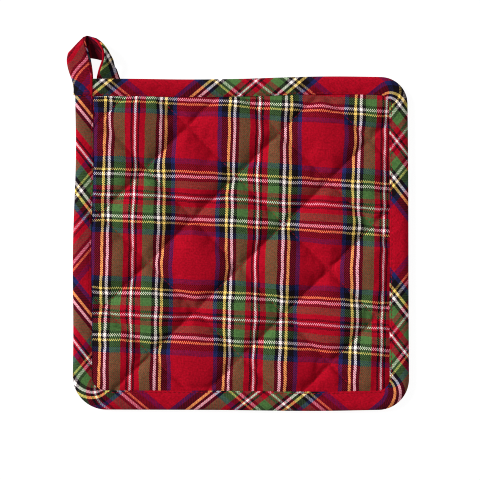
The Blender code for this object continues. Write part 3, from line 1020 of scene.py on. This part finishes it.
def modelledStitch():
    bpy.ops.object.select_all(action="DESELECT")
    bpy.ops.mesh.primitive_uv_sphere_add(segments=6, ring_count=5, radius=0.5 * mm)
    stitch = bpy.context.object
    bpy.ops.object.mode_set(mode="EDIT")
    bpy.ops.mesh.select_all(action="SELECT")
    bpy.ops.transform.rotate(value=math.pi / 2, orient_axis="Y", center_override=(0, 0, 0))
    thickness = stitching["thickness"]
    bpy.ops.transform.resize(value=(stitching["length"], thickness, thickness))
    bpy.ops.object.mode_set(mode="OBJECT")
    bpy.ops.object.shade_smooth()
    stitch.data.materials.append(thread)
    return stitch


def alongRow(points):
    # places a stitch apart on a row of sewing, and its direction there
    run = runAlong(points)
    spots = np.arange(stitching["pitch"] / 2, run[-1], stitching["pitch"])
    behind, places, ahead = (np.stack([np.interp(spots + shift, run, column) for column in points.T], 1)
                             for shift in (-stitching["nearby"], 0.0, stitching["nearby"]))
    return places, ahead - behind


def sewnRow(sheet, points, side):
    # where a row's stitches meet the cloth from above, or with side -1 from below
    made = []
    for place, ahead in zip(*alongRow(points)):
        start = Vector((place[0] * mm, place[1] * mm, side * stitching["castFrom"]))
        met, spot, normal, _ = sheet.ray_cast(start, Vector((0, 0, -side)))
        if met:
            raised = spot + normal * stitching["standsOut"] * mm
            made.append((raised, Vector((*ahead[:2], 0)), normal))
    return made


def sewnPiece(name, stitch, places):
    copies = []
    for spot, ahead, normal in places:
        ahead = (ahead - normal * ahead.dot(normal)).normalized()
        turn = Matrix((ahead, normal.cross(ahead), normal)).transposed().to_4x4()
        copy = bpy.data.objects.new(name, stitch.data.copy())
        copy.data.transform(Matrix.Translation(spot) @ turn)
        bpy.context.scene.collection.objects.link(copy)
        copies.append(copy)
    selectOnly(copies[0])
    for copy in copies:
        copy.select_set(True)
    bpy.ops.object.join()
    return copies[0]


def quiltingLines():
    # the two sets of lines, cut off inside the binding
    points, inwards, widths, _ = outlineStations(edge["coarse"])
    seen = points + inwards * (widths + stitching["inside"])[:, None]
    share = np.linspace(0, 1, stitching["linePoints"])
    lengthwise = (2 * share - 1) * quilt["lineReach"]
    kept = []
    for direction in ("rising", "falling"):
        for start, end in quilt[direction]:
            crosswise = start + (end - start) * share
            total, difference = lengthwise, crosswise
            if direction == "falling":
                total, difference = crosswise, lengthwise
            line = np.stack(((total + difference) / 2, (total - difference) / 2), 1)
            inside, _ = distanceInside(seen, *line.T)
            if (inside > 0).any():
                kept.append(line[inside > 0])
    return kept


def bindingRow():
    points, inwards, widths, _ = outlineStations(edge["fine"])
    row = points + inwards * (widths - strip["stitchInset"])[:, None]
    return np.concatenate((row, row[:1]))


def sewnOn(name, stitch, sheet, rows):
    # each row on the face and again behind
    places = [place for row in rows for side in (1, -1) for place in sewnRow(sheet, row, side)]
    return sewnPiece(name, stitch, places)


stitch = modelledStitch()
bindingRows = (bindingRow(), np.array(stitching["rootRow"]))
quiltingStitches = sewnOn("quiltingStitches", stitch, pad, quiltingLines())
bindingStitches = sewnOn("bindingStitches", stitch, binding, bindingRows)
bpy.data.objects.remove(stitch)
for piece, slot in ((quiltingStitches, "panel_cloth"), (bindingStitches, "binding_cloth")):
    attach(piece, "root")
    print(piece.name, "made:", len(piece.data.polygons), "faces")


# The floor, the light and the camera.
studio = {
    "sunTurn": 156.0,      # where it stands, anticlockwise from +X
    "sunHeight": 31.0,
    "sunStrength": 3.6,
    "sunSoftness": 18.0,
    "fill": 0.40,
    "floorSize": 6.0,
    "floorHeight": -0.0002,
    "floorShade": (0.12, 0.12, 0.12, 1.0),
    "floorRoughness": 0.9,
    "floorGlow": 0.93,
    "white": (1.0, 1.0, 1.0, 1.0),
    "cameraAt": (-0.00066, 0.00258, 1.0),
    "seenHeight": 0.003,   # about where the pad's face lies
    "frameWidth": 0.288,   # what the camera sees there
    "sensor": 36.0,
}


paleFloor = Finish("paleFloor")
paleFloor.surface("Base Color", studio["floorShade"])
paleFloor.surface("Roughness", studio["floorRoughness"])
paleFloor.surface("Emission Color", studio["white"])
paleFloor.surface("Emission Strength", studio["floorGlow"])

bpy.ops.object.select_all(action="DESELECT")
bpy.ops.mesh.primitive_plane_add(size=studio["floorSize"], location=(0, 0, studio["floorHeight"]))
floor = bpy.context.object
floor.name = "floor"
floor.data.materials.append(paleFloor.material)

turn, height = math.radians(studio["sunTurn"]), math.radians(studio["sunHeight"])
level = math.cos(height)
towards = -Vector((math.cos(turn) * level, math.sin(turn) * level, math.sin(height)))
bpy.ops.object.light_add(type="SUN", location=(0, 0, 1))
sun = bpy.context.object
sun.rotation_euler = towards.to_track_quat("-Z", "Y").to_euler()
sun.data.energy = studio["sunStrength"]
sun.data.angle = math.radians(studio["sunSoftness"])

world = bpy.data.worlds.new("softRoom")
world.use_nodes = True
background = world.node_tree.nodes["Background"]
background.inputs["Color"].default_value = studio["white"]
background.inputs["Strength"].default_value = studio["fill"]
bpy.context.scene.world = world

bpy.ops.object.camera_add(location=studio["cameraAt"], rotation=(0, 0, 0))
camera = bpy.context.object
distance = studio["cameraAt"][2] - studio["seenHeight"]
camera.data.sensor_width = studio["sensor"]
camera.data.lens = studio["sensor"] * distance / studio["frameWidth"]
bpy.context.scene.camera = camera
bpy.context.scene.view_settings.view_transform = "Standard"
bpy.context.scene.cycles.denoising_prefilter = "NONE"    # keeps the single yarns
bpy.context.scene.cycles.filter_width = 1.0
print("studio set")
